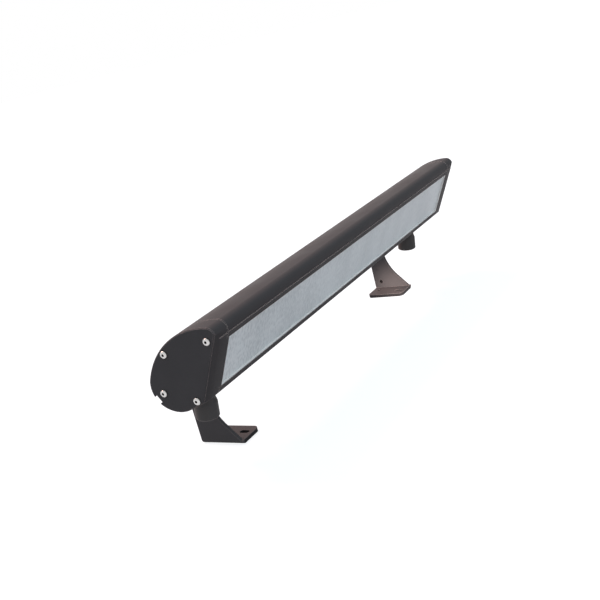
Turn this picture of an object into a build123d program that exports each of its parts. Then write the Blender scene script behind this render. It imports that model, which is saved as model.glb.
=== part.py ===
from build123d import *
import math
import os

# Linear wall washer: an extruded lamp body with die-cast end caps, carried at its back on two
# adjustable saddles and two angle brackets.
#
# Frame: +X along the body, the lens faces -Y, +Z up.  The origin is on the mounting surface, midway
# between the two round fixing holes of the feet.  All sizes are in millimetres.
#
# The lamp body is drawn in its own tilted cross-section, where "depth" is measured behind the front
# of the lens and "height" upwards along the lens from its middle.

# ---------------------------------------------------------------- driving sizes
TILT = 27.5                 # lens leans over this much from upright, in degrees
LENS_LENGTH = 559.0         # glass seen between the end caps
LENS_HEIGHT = 56.6          # glass seen between the lips
BACK_RADIUS = 23.7          # round lower back of the body
BACK_DEPTH = 40.0           # centre of the round back, behind the lens
BACK_DROP = 5.8             # centre of the round back, below the lip's edge
UNDER_RADIUS = 34.0         # flatter arc of the underside, in front of the round back
TOP_RADIUS = 88.0           # large arc over the top
CORNER_RADIUS = 8.6         # upper front corner
LIP_WIDTH = 6.0             # flat lip above and below the glass
LIP_PROUD = 1.5             # lip in front of the glass channel
RIM_STEP = 0.8              # the lip stands this much in front of the upper corner
RIM_RISE = 0.6              # flat edge between the lip and the upper corner
WALL = 3.0                  # wall of the extrusion
CAP_DEPTH = 20.0            # end cap along the body
CAP_WALL = 4.0              # end cap's rim and end wall
BEVEL_LENGTH = 8.3          # bevel on the cap's front edge, along the body
BEVEL_DEPTH = 3.0           # and across the end face
EDGE_BREAK = 0.9            # broken edge around the end face
END_GASKET = 1.0            # sheet gasket behind each cap
LENS_COVER = 2.8            # each cap's tongue reaches this far over the glass

BRACKET_SPAN = 455.6        # over the outer faces of the two bracket plates
PLATE = 4.5                 # bracket thickness
NECK_WIDTH = 22.0           # bracket neck, front to back
PIVOT_HEIGHT = 78.8         # tilt axis above the mounting surface
FOOT_DEPTH = 53.7           # foot, front to back
FOOT_REACH = 33.7           # foot along the body, from the plate's outer face
HOLE_INSET = 9.8            # round fixing hole, from the foot's back edge
SLOT_INSET = 10.6           # middle of the slot, from the foot's front edge
HUB_SPAN = 515.6            # between the axes of the conduit hubs
HUB_RADIUS = 12.5
HUB_LENGTH = 28.1           # from the body's surface to the hub's open end

# ---------------------------------------------------------------- fits and clearances
SLIP = 0.2                  # loose parts in grooves and channels
RUNNING = 0.05              # shaft in bore, on the radius
BODY_GAP = 0.3              # curved faces of pieces that move on each other
THREAD_GAP = 0.05           # screw shank in its port, on the radius
PIVOT_PLAY = 0.15           # tilt bolt in the bracket's hole, on the radius
SCREW_PLAY = 0.25           # clamp bolt and cap screw in their plain holes, on the radius
LAMP_CLEAR = 0.5            # lamp through the reflector's ends, on the radius
TRAY_SHORT = 1.0            # gear tray inside each end of the body
CUT = 1.0                   # a cut starts this far outside the face it opens

# ---------------------------------------------------------------- smaller sizes
GLASS = 4.0
LENS_GASKET = 0.8
GASKET_SHOW = 0.6           # gasket seen inside the lip's edge
LEDGE = 1.6                 # inner shelf that the glass lies against
LEDGE_COVER = 1.3           # shelf reaches this far inside the lip's edge
CHANNEL_GRIP = 4.0          # glass held behind the lips
PORT_RADIUS = 3.4           # screw port in the extrusion
CAP_SCREW_RADIUS = 2.0
CAP_SCREW_HOLE = CAP_SCREW_RADIUS + SCREW_PLAY
CAP_SCREW_HEAD = 3.8
CAP_SCREW_HEAD_HEIGHT = 2.2
CAP_SOCKET_FLATS = 2.5
CAP_SOCKET_DEPTH = 1.3
CAP_SCREW_TAPER = 18.0      # side of the button head, in degrees
CAP_SCREW_BITE = 12.0       # screw in the extrusion
POST_WEB = 4.0              # web that joins a free screw post or port to the wall
TOP_SCREW_DEPTH = 7.9
TOP_SCREW_RISE = 1.4        # upper front screw, above the edge of the glass
LOW_SCREW_DEPTH = 8.5
LOW_SCREW_DROP = 3.5        # lower front screw, below the lip's edge
BACK_SCREW_INSET = 6.1      # upper back screw, inside the large arc
BACK_SCREW_ANGLE = 23.3     # its place on the large arc, in degrees
ROOT_SCREW_INSET = 9.9      # lower back screw, inside the slot's floor
ROOT_SCREW_TURN = 4.5       # its place beside the slot's middle, in degrees

SLOT_ANGLE = -58.7          # mounting slot's place on the round back, in degrees
SLOT_WIDTH = 8.4            # inside the mounting slot, and the notch in the caps
SLOT_DEPTH = 4.6
SLOT_MOUTH = 5.4
SLOT_LIP = 1.6
SLOT_SIDE = 2.2             # metal beside and below the slot

TRAY = 1.5                  # gear tray sheet
TRAY_DEPTH = 33.0
TRAY_DROP = 16.5            # tray's lower edge, below the lip's edge
TRAY_INSET = 11.5           # tray's upper edge, below the edge of the glass
RIB_WIDTH = 5.0
GROOVE_DEPTH = 3.0
SHEET = 0.8                 # reflector sheet
REFLECTOR_DEPTH = 30.4
REFLECTOR_INSET = 4.7       # reflector's upper edge, below the edge of the glass
REFLECTOR_RISE = 1.9        # reflector's lower edge, above the edge of the glass
REFLECTOR_END = 268.0
REFLECTOR_FOOT = 16.0       # foot of each reflector end on the gear tray

LAMP_RADIUS = 8.0
TUBE_STEP = 0.2             # glass tube inside its metal bases, on the radius
LAMP_LENGTH = 549.0
LAMP_DEPTH = 19.0
LAMP_HEIGHT = -4.0
LAMP_BASE = 10.0            # metal base on each end of the tube
PIN_RADIUS = 1.18
PIN_PITCH = 4.75
PIN_LENGTH = 7.1
ROTOR_RADIUS = 5.5
ROTOR_LENGTH = 7.6
ROTOR_RIM = 1.0
HOLDER_WIDTH = 16.0
HOLDER_LENGTH = 14.0
HOLDER_FACE_GAP = 0.5

BALLAST_LENGTH = 340.0
BALLAST_TAB = 11.0
BALLAST_TAB_THICK = 1.2
BALLAST_TAB_INSET = 3.0
BALLAST_CORNER = 1.2
BALLAST_THICK = 21.0
BALLAST_INSET = 41.3        # ballast's upper edge, below the upper edge of the glass
BALLAST_DROP = 8.7          # ballast's lower edge, below the lip's edge
TERMINAL_PLACE = 215.0
TERMINAL_LENGTH = 32.0
TERMINAL_WIDTH = 20.0
TERMINAL_THICK = 15.0
TERMINAL_POLES = 3
TERMINAL_HOLE = 2.2
TERMINAL_HOLE_HEIGHT = 8.0
GEAR_SCREW_HEAD = 3.8
GEAR_SCREW_HEIGHT = 2.4
GEAR_SCREW_TAPER = 20.0

HUB_ANGLE = 19.2            # hub axis, from straight down across the lens, towards the front
HUB_BODY = 16.0             # thick part of the hub
HUB_CONE = 5.0
HUB_RIM = 0.8               # chamfer of the open end
HUB_NECK_RADIUS = 11.0
HUB_STEM_RADIUS = 10.0
HUB_STEM_INSIDE = 3.0
HUB_THREAD_RADIUS = 9.15
HUB_THREAD_LENGTH = 14.0
HUB_PASSAGE_RADIUS = 7.5
HUB_GASKET = 0.8

FLARE_RADIUS = 60.0
FLARE_ANGLE = 41.0
FLARE_TOP = 60.7            # height at which the neck begins to flare
PLATE_HOLE_RADIUS = 2.5
PLATE_HOLE_DEPTH = 3.2      # blind hole in the plate's inner face
PLATE_HOLE_HEIGHT = 13.5
PLATE_HOLE_INSET = 10.4     # from the plate's back edge
FIXING_RADIUS = 2.75
FIXING_PLACE = 15.8         # fixing hole, from the plate's outer face
SLOT_PLACE = 20.7           # fixing slot, from the plate's outer face
FIXING_SLOT_LENGTH = 12.5
FIXING_SLOT_RADIUS = 3.0
BEND_RADIUS = 5.0
FOOT_CORNER = 6.0

PIVOT_REACH = 21.0          # tilt axis to the body's round back
SADDLE_LENGTH = 30.0
SADDLE_BASE = 6.0
SADDLE_WIDTH = 22.0
EAR = 5.0
PIVOT_RADIUS = 4.0
PIVOT_HOLE = PIVOT_RADIUS + PIVOT_PLAY
HEX_FLATS = 13.0
BOLT_HEAD = 5.3
NUT_HEIGHT = 6.5
BOLT_END = 2.0              # bolt shows past its nut
FRICTION_WASHER = 1.0
NUT_WASHER = 1.6
WASHER_RADIUS = 8.0
CLAMP_RADIUS = 2.4
CLAMP_HEAD = 4.5
CLAMP_HEAD_HEIGHT = 2.8
CLAMP_TAPER = 12.0
CLAMP_HOLE = CLAMP_RADIUS + SCREW_PLAY
CLAMP_SOCKET_FLATS = 3.0
CLAMP_SOCKET_DEPTH = 1.7
CLAMP_PLACES = (11.9, 23.5)  # clamp bolts, from the saddle's outer end
SQUARE_NUT = 8.0
SQUARE_NUT_THICK = 2.7

SIDES = {"left": -1, "right": 1}

# ---------------------------------------------------------------- places in the cross-section
HALF_LENS = LENS_HEIGHT / 2
LIP_EDGE = HALF_LENS + LIP_WIDTH
FRONT = -LIP_PROUD
CHANNEL = LENS_GASKET + GLASS
LEDGE_BACK = CHANNEL + LEDGE
BODY_END = LENS_LENGTH / 2 + LENS_COVER
CAP_START = BODY_END + END_GASKET
CAP_END = CAP_START + CAP_DEPTH
TRAY_LOW = -LIP_EDGE - TRAY_DROP
TRAY_HIGH = HALF_LENS - TRAY_INSET
REFLECTOR_TOP = HALF_LENS - REFLECTOR_INSET
REFLECTOR_LOW = -HALF_LENS + REFLECTOR_RISE
BALLAST_TOP = HALF_LENS - BALLAST_INSET
BALLAST_WIDTH = BALLAST_TOP + LIP_EDGE + BALLAST_DROP
BALLAST_MIDDLE = BALLAST_TOP - BALLAST_WIDTH / 2


def polar(centre, radius, degrees):
    """A point of the cross-section at a radius and angle from a centre."""
    angle = math.radians(degrees)
    return (centre[0] + radius * math.cos(angle), centre[1] + radius * math.sin(angle))


def wrapping_centre(first, first_radius, second, second_radius, radius):
    """Centre of the large circle that two smaller circles touch from inside."""
    gap = math.dist(first, second)
    a = radius - first_radius
    b = radius - second_radius
    along = (a * a - b * b + gap * gap) / (2 * gap)
    across = math.sqrt(a * a - along * along)
    unit = ((second[0] - first[0]) / gap, (second[1] - first[1]) / gap)
    return (
        first[0] + unit[0] * along - unit[1] * across,
        first[1] + unit[1] * along + unit[0] * across,
    )


def touching_point(large, centre, radius):
    """Point where a small circle touches the large circle around it."""
    gap = math.dist(large, centre)
    return tuple(c + (c - g) / gap * radius for c, g in zip(centre, large))


BACK_CENTRE = (BACK_DEPTH, -LIP_EDGE - BACK_DROP)
UNDER_CENTRE = (BACK_DEPTH, BACK_CENTRE[1] + UNDER_RADIUS - BACK_RADIUS)
CORNER_CENTRE = (RIM_STEP - LIP_PROUD + CORNER_RADIUS, LIP_EDGE + RIM_RISE)
TOP_CENTRE = wrapping_centre(BACK_CENTRE, BACK_RADIUS, CORNER_CENTRE, CORNER_RADIUS, TOP_RADIUS)
SLOT_FLOOR_RADIUS = BACK_RADIUS - SLOT_DEPTH
SCREWS = (
    (TOP_SCREW_DEPTH, HALF_LENS + TOP_SCREW_RISE),
    polar(TOP_CENTRE, TOP_RADIUS - BACK_SCREW_INSET, BACK_SCREW_ANGLE),
    polar(BACK_CENTRE, SLOT_FLOOR_RADIUS - ROOT_SCREW_INSET, SLOT_ANGLE + ROOT_SCREW_TURN),
    (LOW_SCREW_DEPTH, -LIP_EDGE - LOW_SCREW_DROP),
)
PIVOT_IN_SECTION = polar(BACK_CENTRE, BACK_RADIUS + PIVOT_REACH, SLOT_ANGLE)
HUB_DIRECTION = -90 - HUB_ANGLE

# ---------------------------------------------------------------- where the section stands
PLATE_BACK = HOLE_INSET
PIVOT_Y = PLATE_BACK - NECK_WIDTH / 2
PLATE_FRONT = PLATE_BACK - NECK_WIDTH
FOOT_FRONT = PLATE_BACK - FOOT_DEPTH
DEPTH_DIR = Vector(0, math.cos(math.radians(TILT)), math.sin(math.radians(TILT)))
HEIGHT_DIR = Vector(0, -math.sin(math.radians(TILT)), math.cos(math.radians(TILT)))
LENS_MIDDLE = (
    Vector(0, PIVOT_Y, PIVOT_HEIGHT)
    - DEPTH_DIR * PIVOT_IN_SECTION[0]
    - HEIGHT_DIR * PIVOT_IN_SECTION[1]
)


def section(x):
    """Cross-section plane of the lamp body at a station along it."""
    return Plane(origin=LENS_MIDDLE + Vector(x, 0, 0), x_dir=DEPTH_DIR, z_dir=(1, 0, 0))


def radial(x, centre, radius, degrees):
    """Plane square to a radius of one of the body's arcs, facing outwards; local X runs along the body."""
    place = polar(centre, radius, degrees)
    tip = polar((0, 0), 1, degrees)
    outward = DEPTH_DIR * tip[0] + HEIGHT_DIR * tip[1]
    origin = section(x).from_local_coords((place[0], place[1], 0))
    return Plane(origin=origin, x_dir=(1, 0, 0), z_dir=outward)


def across(x):
    """Plane square to the tilt axis; its local X points back and its local Y up."""
    return Plane(origin=(x, 0, 0), x_dir=(0, 1, 0), z_dir=(1, 0, 0))


def save(part, name):
    """Labels a finished piece and writes its file."""
    part.label = name
    export_step(part, f"parts/{name}.step")


os.makedirs("parts", exist_ok=True)

# ---------------------------------------------------------------- shared outlines
# Outline of the body: flat lip in front, a line that runs on into the underside's arc, the round back,
# the large arc over the top and the upper front corner.
to_centre = (UNDER_CENTRE[0] - FRONT, UNDER_CENTRE[1] + LIP_EDGE)
reach = math.hypot(*to_centre)
line_length = math.sqrt(reach ** 2 - UNDER_RADIUS ** 2)
line_angle = math.degrees(math.atan2(to_centre[1], to_centre[0]) - math.asin(UNDER_RADIUS / reach))
LOW_TOUCH = polar((FRONT, -LIP_EDGE), line_length, line_angle)
LOWEST = (BACK_DEPTH, BACK_CENTRE[1] - BACK_RADIUS)
BACK_TOUCH = touching_point(TOP_CENTRE, BACK_CENTRE, BACK_RADIUS)
CORNER_TOUCH = touching_point(TOP_CENTRE, CORNER_CENTRE, CORNER_RADIUS)
CORNER_START = (CORNER_CENTRE[0] - CORNER_RADIUS, CORNER_CENTRE[1])

with BuildSketch() as outline:
    with BuildLine():
        Line((FRONT, LIP_EDGE), (FRONT, -LIP_EDGE))
        slope = Line((FRONT, -LIP_EDGE), LOW_TOUCH)
        underside = TangentArc(LOW_TOUCH, LOWEST, tangent=slope % 1)
        round_back = TangentArc(LOWEST, BACK_TOUCH, tangent=underside % 1)
        top = TangentArc(BACK_TOUCH, CORNER_TOUCH, tangent=round_back % 1)
        TangentArc(CORNER_TOUCH, CORNER_START, tangent=top % 1)
        Polyline(CORNER_START, (CORNER_START[0], LIP_EDGE), (FRONT, LIP_EDGE))
    make_face()

# Notch of the mounting slot, cut through the caps and their gaskets.
with BuildSketch() as notch:
    with Locations(Location(polar(BACK_CENTRE, BACK_RADIUS, SLOT_ANGLE) + (0,), SLOT_ANGLE)):
        Rectangle(2 * SLOT_DEPTH, SLOT_WIDTH)

# Metal that stays around the slot, with a web to the lower back screw.
with BuildSketch() as slot_block:
    with Locations(Location(polar(BACK_CENTRE, BACK_RADIUS, SLOT_ANGLE) + (0,), SLOT_ANGLE)):
        Rectangle(2 * (SLOT_DEPTH + SLOT_SIDE), SLOT_WIDTH + 2 * SLOT_SIDE)
    with Locations(Location(SCREWS[2] + (0,), SLOT_ANGLE)):
        Rectangle(ROOT_SCREW_INSET, POST_WEB, align=(Align.MIN, Align.CENTER))

# Hollow of an end cap: inside its rim, around the screw posts and the notch.
with BuildSketch() as cap_hollow:
    add(outline.sketch)
    offset(amount=-CAP_WALL)
    with Locations(*SCREWS):
        Circle(CAP_SCREW_HEAD, mode=Mode.SUBTRACT)
    # web from the upper front post to the front wall
    with Locations((0, SCREWS[0][1])):
        Rectangle(SCREWS[0][0], POST_WEB, align=(Align.MIN, Align.CENTER), mode=Mode.SUBTRACT)
    add(slot_block.sketch, mode=Mode.SUBTRACT)

# ---------------------------------------------------------------- lamp body
with BuildSketch() as body_hollow:
    add(outline.sketch)
    offset(amount=-WALL)
    with Locations((LEDGE_BACK, 0)):
        Rectangle(2 * BACK_DEPTH, 4 * LIP_EDGE, align=(Align.MAX, Align.CENTER), mode=Mode.SUBTRACT)
    with Locations(*SCREWS):
        Circle(PORT_RADIUS, mode=Mode.SUBTRACT)
    add(slot_block.sketch, mode=Mode.SUBTRACT)
    # ribs above and below the gear tray
    rib_middle = TRAY_DEPTH + TRAY / 2
    with Locations((rib_middle, TRAY_LOW + GROOVE_DEPTH - SLIP)):
        Rectangle(RIB_WIDTH, LIP_EDGE, align=(Align.CENTER, Align.MAX), mode=Mode.SUBTRACT)
    with Locations((rib_middle, TRAY_HIGH - GROOVE_DEPTH + SLIP)):
        Rectangle(RIB_WIDTH, LIP_EDGE, align=(Align.CENTER, Align.MIN), mode=Mode.SUBTRACT)

with BuildPart() as housing:
    with BuildSketch(section(-BODY_END)):
        add(outline.sketch)
        add(body_hollow.sketch, mode=Mode.SUBTRACT)
        # window, glass channel and the opening inside the shelf
        with Locations((FRONT, 0)):
            Rectangle(LIP_PROUD, LENS_HEIGHT, align=(Align.MIN, Align.CENTER), mode=Mode.SUBTRACT)
        with Locations((0, 0)):
            channel_height = LENS_HEIGHT + 2 * CHANNEL_GRIP
            Rectangle(CHANNEL, channel_height, align=(Align.MIN, Align.CENTER), mode=Mode.SUBTRACT)
        with Locations((CHANNEL, 0)):
            opening = LENS_HEIGHT - 2 * LEDGE_COVER
            Rectangle(LEDGE, opening, align=(Align.MIN, Align.CENTER), mode=Mode.SUBTRACT)
        with Locations(*SCREWS):
            Circle(CAP_SCREW_RADIUS + THREAD_GAP, mode=Mode.SUBTRACT)
        # grooves for the gear tray
        with Locations((rib_middle, TRAY_LOW - SLIP), (rib_middle, TRAY_HIGH + SLIP - GROOVE_DEPTH)):
            groove_size = (TRAY + SLIP, GROOVE_DEPTH)
            Rectangle(*groove_size, align=(Align.CENTER, Align.MIN), mode=Mode.SUBTRACT)
        # mounting slot: wide inside, narrow at its mouth
        inside_depth = SLOT_DEPTH - SLOT_LIP
        inside_middle = polar(BACK_CENTRE, SLOT_FLOOR_RADIUS + inside_depth / 2, SLOT_ANGLE)
        with Locations(Location(inside_middle + (0,), SLOT_ANGLE)):
            Rectangle(inside_depth, SLOT_WIDTH, mode=Mode.SUBTRACT)
        with Locations(Location(polar(BACK_CENTRE, BACK_RADIUS, SLOT_ANGLE) + (0,), SLOT_ANGLE)):
            Rectangle(2 * SLOT_DEPTH, SLOT_MOUTH, mode=Mode.SUBTRACT)
    extrude(amount=2 * BODY_END)
    # tapped holes for the conduit hubs
    for side in SIDES.values():
        hub_x = side * HUB_SPAN / 2
        with BuildSketch(radial(hub_x, UNDER_CENTRE, UNDER_RADIUS + CUT, HUB_DIRECTION)):
            Circle(HUB_STEM_RADIUS + THREAD_GAP)
        extrude(amount=-(WALL + HUB_STEM_INSIDE + 2 * CUT), mode=Mode.SUBTRACT)
save(housing.part, "housing_extrusion")

with BuildPart() as lens:
    with BuildSketch(section(-BODY_END + SLIP)):
        with Locations((LENS_GASKET, 0)):
            glass_height = LENS_HEIGHT + 2 * CHANNEL_GRIP - 2 * SLIP
            Rectangle(GLASS, glass_height, align=(Align.MIN, Align.CENTER))
    extrude(amount=2 * (BODY_END - SLIP))
save(lens.part, "lens_glass")

with BuildPart() as lens_gasket:
    with BuildSketch(section(-BODY_END + SLIP)):
        with Locations((0, 0)):
            Rectangle(LENS_GASKET, glass_height, align=(Align.MIN, Align.CENTER))
    extrude(amount=2 * (BODY_END - SLIP))
    with BuildSketch(section(-LENS_LENGTH / 2 + GASKET_SHOW)):
        Rectangle(2 * CHANNEL, LENS_HEIGHT - 2 * GASKET_SHOW)
    extrude(amount=LENS_LENGTH - 2 * GASKET_SHOW, mode=Mode.SUBTRACT)
save(lens_gasket.part, "lens_gasket")

# ---------------------------------------------------------------- end caps, gaskets, screws
TONGUE_HEIGHT = LENS_HEIGHT - SLIP
POST_LENGTH = CAP_DEPTH - CAP_WALL

for name, side in SIDES.items():
    with BuildPart() as cap:
        with BuildSketch(section(side * CAP_START)):
            add(outline.sketch)
        extrude(amount=side * CAP_DEPTH)
        end_face = cap.faces().sort_by(Axis.X)[0 if side < 0 else -1]
        front_edge = end_face.edges().sort_by(Axis((0, 0, 0), tuple(DEPTH_DIR)))[0]
        chamfer(front_edge, length=BEVEL_DEPTH, length2=BEVEL_LENGTH, reference=end_face)
        end_face = cap.faces().sort_by(Axis.X)[0 if side < 0 else -1]
        chamfer(end_face.edges(), length=EDGE_BREAK)
        with BuildSketch(section(side * CAP_START)):
            add(cap_hollow.sketch)
        extrude(amount=side * POST_LENGTH, mode=Mode.SUBTRACT)
        with BuildSketch(section(side * CAP_START)):
            add(notch.sketch)
            with Locations(*SCREWS):
                Circle(CAP_SCREW_HOLE)
        extrude(amount=side * CAP_DEPTH, mode=Mode.SUBTRACT)
        # tongue over the end of the glass
        with BuildSketch(section(side * CAP_START)):
            with Locations((FRONT, 0)):
                Rectangle(LIP_PROUD, TONGUE_HEIGHT, align=(Align.MIN, Align.CENTER))
        extrude(amount=-side * (CAP_START - LENS_LENGTH / 2))
    save(cap.part, f"end_cap_{name}")

    with BuildPart() as end_gasket:
        with BuildSketch(section(side * BODY_END)):
            add(outline.sketch)
            add(cap_hollow.sketch, mode=Mode.SUBTRACT)
            add(notch.sketch, mode=Mode.SUBTRACT)
            with Locations(*SCREWS):
                Circle(CAP_SCREW_HOLE, mode=Mode.SUBTRACT)
            with Locations((FRONT, 0)):
                tongue_gap = LENS_HEIGHT + SLIP
                Rectangle(LIP_PROUD, tongue_gap, align=(Align.MIN, Align.CENTER), mode=Mode.SUBTRACT)
        extrude(amount=side * END_GASKET)
    save(end_gasket.part, f"end_gasket_{name}")

    with BuildPart() as cap_screws:
        for place in SCREWS:
            with BuildSketch(section(side * CAP_END)):
                with Locations(place):
                    Circle(CAP_SCREW_HEAD)
            extrude(amount=side * CAP_SCREW_HEAD_HEIGHT, taper=CAP_SCREW_TAPER)
            with BuildSketch(section(side * CAP_END)):
                with Locations(place):
                    Circle(CAP_SCREW_RADIUS)
            extrude(amount=-side * (CAP_DEPTH + END_GASKET + CAP_SCREW_BITE))
            with BuildSketch(section(side * (CAP_END + CAP_SCREW_HEAD_HEIGHT))):
                with Locations(place):
                    RegularPolygon(CAP_SOCKET_FLATS / 2, 6, major_radius=False)
            extrude(amount=-side * CAP_SOCKET_DEPTH, mode=Mode.SUBTRACT)
    save(cap_screws.part, f"cap_screws_{name}")

# ---------------------------------------------------------------- inside the lamp body
with BuildPart() as gear_tray:
    with BuildSketch(section(-BODY_END + TRAY_SHORT)):
        with Locations((TRAY_DEPTH, TRAY_LOW)):
            Rectangle(TRAY, TRAY_HIGH - TRAY_LOW, align=(Align.MIN, Align.MIN))
    extrude(amount=2 * (BODY_END - TRAY_SHORT))
save(gear_tray.part, "gear_tray")

BALLAST_FRONT = TRAY_DEPTH + TRAY
tab_places = [side * (BALLAST_LENGTH + BALLAST_TAB) / 2 for side in SIDES.values()]
with BuildPart() as ballast:
    with BuildSketch(section(-BALLAST_LENGTH / 2)):
        with Locations((BALLAST_FRONT, BALLAST_MIDDLE)):
            Rectangle(BALLAST_THICK, BALLAST_WIDTH, align=(Align.MIN, Align.CENTER))
    extrude(amount=BALLAST_LENGTH)
    chamfer(ballast.edges().filter_by(Axis.X), length=BALLAST_CORNER)
    with BuildSketch(section(-BALLAST_LENGTH / 2 - BALLAST_TAB)):
        with Locations((BALLAST_FRONT, BALLAST_MIDDLE)):
            tab_width = BALLAST_WIDTH - 2 * BALLAST_TAB_INSET
            Rectangle(BALLAST_TAB_THICK, tab_width, align=(Align.MIN, Align.CENTER))
    extrude(amount=BALLAST_LENGTH + 2 * BALLAST_TAB)
save(ballast.part, "ballast")

with BuildPart() as ballast_screws:
    for x in tab_places:
        head_at = section(x).from_local_coords((BALLAST_FRONT + BALLAST_TAB_THICK, BALLAST_MIDDLE, 0))
        with BuildSketch(Plane(origin=head_at, x_dir=(1, 0, 0), z_dir=DEPTH_DIR)):
            Circle(GEAR_SCREW_HEAD)
        extrude(amount=GEAR_SCREW_HEIGHT, taper=GEAR_SCREW_TAPER)
save(ballast_screws.part, "ballast_screws")

with BuildPart() as terminal_block:
    with BuildSketch(section(TERMINAL_PLACE - TERMINAL_LENGTH / 2)):
        with Locations((BALLAST_FRONT, BALLAST_MIDDLE)):
            Rectangle(TERMINAL_THICK, TERMINAL_WIDTH, align=(Align.MIN, Align.CENTER))
    extrude(amount=TERMINAL_LENGTH)
    hole_depth = BALLAST_FRONT + TERMINAL_HOLE_HEIGHT
    entry_at = section(TERMINAL_PLACE).from_local_coords((hole_depth, BALLAST_MIDDLE, 0))
    with BuildSketch(Plane(origin=entry_at, x_dir=(1, 0, 0), z_dir=HEIGHT_DIR)):
        with GridLocations(TERMINAL_LENGTH / TERMINAL_POLES, 1, TERMINAL_POLES, 1):
            Circle(TERMINAL_HOLE)
    extrude(amount=TERMINAL_WIDTH / 2, both=True, mode=Mode.SUBTRACT)
save(terminal_block.part, "terminal_block")

# Reflector: one bent sheet, open towards the glass, and two end plates with a foot on the tray.
with BuildSketch() as reflector_face:
    with BuildLine() as reflector_curve:
        turn = (REFLECTOR_DEPTH, (REFLECTOR_TOP + REFLECTOR_LOW) / 2)
        upper = (LEDGE_BACK + SHEET, REFLECTOR_TOP)
        lower = (LEDGE_BACK + SHEET, REFLECTOR_LOW)
        TangentArc(turn, upper, tangent=(0, 1))
        TangentArc(turn, lower, tangent=(0, -1))
    trace(line_width=SHEET)
with BuildPart() as reflector:
    with BuildSketch(section(-REFLECTOR_END)):
        add(reflector_face.sketch)
    extrude(amount=2 * REFLECTOR_END)
save(reflector.part, "reflector")

LAMP_CENTRE = (LAMP_DEPTH, LAMP_HEIGHT)
for name, side in SIDES.items():
    with BuildPart() as reflector_end:
        with BuildSketch(section(side * REFLECTOR_END)):
            with BuildLine():
                TangentArc(turn, upper, tangent=(0, 1))
                TangentArc(turn, lower, tangent=(0, -1))
                Line(upper, lower)
            make_face()
            with Locations((TRAY_DEPTH, turn[1])):
                foot_reach = TRAY_DEPTH - LAMP_DEPTH
                Rectangle(foot_reach, REFLECTOR_FOOT, align=(Align.MAX, Align.CENTER))
            with Locations(LAMP_CENTRE):
                Circle(LAMP_RADIUS + LAMP_CLEAR, mode=Mode.SUBTRACT)
        extrude(amount=side * SHEET)
    save(reflector_end.part, f"reflector_end_{name}")

with BuildPart() as lamp_tube:
    with BuildSketch(section(-LAMP_LENGTH / 2 + LAMP_BASE)):
        with Locations(LAMP_CENTRE):
            Circle(LAMP_RADIUS - TUBE_STEP)
    extrude(amount=LAMP_LENGTH - 2 * LAMP_BASE)
save(lamp_tube.part, "lamp_tube")

HOLDER_START = LAMP_LENGTH / 2 + HOLDER_FACE_GAP
for name, side in SIDES.items():
    with BuildPart() as lamp_base:
        with BuildSketch(section(side * (LAMP_LENGTH / 2 - LAMP_BASE))):
            with Locations(LAMP_CENTRE):
                Circle(LAMP_RADIUS)
        extrude(amount=side * LAMP_BASE)
        with BuildSketch(section(side * LAMP_LENGTH / 2)):
            with Locations(LAMP_CENTRE):
                with GridLocations(1, PIN_PITCH, 1, 2):
                    Circle(PIN_RADIUS)
        extrude(amount=side * PIN_LENGTH)
    save(lamp_base.part, f"lamp_base_{name}")

    with BuildPart() as rotor:
        with BuildSketch(section(side * HOLDER_START)):
            with Locations(LAMP_CENTRE):
                Circle(ROTOR_RADIUS)
                slit = (2 * PIN_RADIUS + SLIP, 2 * (ROTOR_RADIUS - ROTOR_RIM))
                Rectangle(*slit, mode=Mode.SUBTRACT)
        extrude(amount=side * ROTOR_LENGTH)
    save(rotor.part, f"lampholder_rotor_{name}")

    # Lampholder: a block on the gear tray with a round seat for the rotor, open towards the glass.
    with BuildPart() as lampholder:
        with BuildSketch(section(side * HOLDER_START)):
            with Locations(LAMP_CENTRE):
                Circle(HOLDER_WIDTH / 2)
                holder_reach = TRAY_DEPTH - LAMP_DEPTH
                Rectangle(holder_reach, HOLDER_WIDTH, align=(Align.MIN, Align.CENTER))
        extrude(amount=side * HOLDER_LENGTH)
        with BuildSketch(section(side * HOLDER_START)):
            with Locations(LAMP_CENTRE):
                Circle(ROTOR_RADIUS + RUNNING)
                entry_width = 2 * PIN_RADIUS + 2 * SLIP
                Rectangle(HOLDER_WIDTH, entry_width, align=(Align.MAX, Align.CENTER))
        extrude(amount=side * ROTOR_LENGTH, mode=Mode.SUBTRACT)
    save(lampholder.part, f"lampholder_{name}")

# ---------------------------------------------------------------- conduit hubs
OPEN_END = UNDER_RADIUS + HUB_LENGTH
STEM_END = UNDER_RADIUS - WALL - HUB_STEM_INSIDE


def hub_plane(side, radius):
    """Plane square to a hub's axis, at a radius of the underside's arc."""
    return radial(side * HUB_SPAN / 2, UNDER_CENTRE, radius, HUB_DIRECTION)


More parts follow.
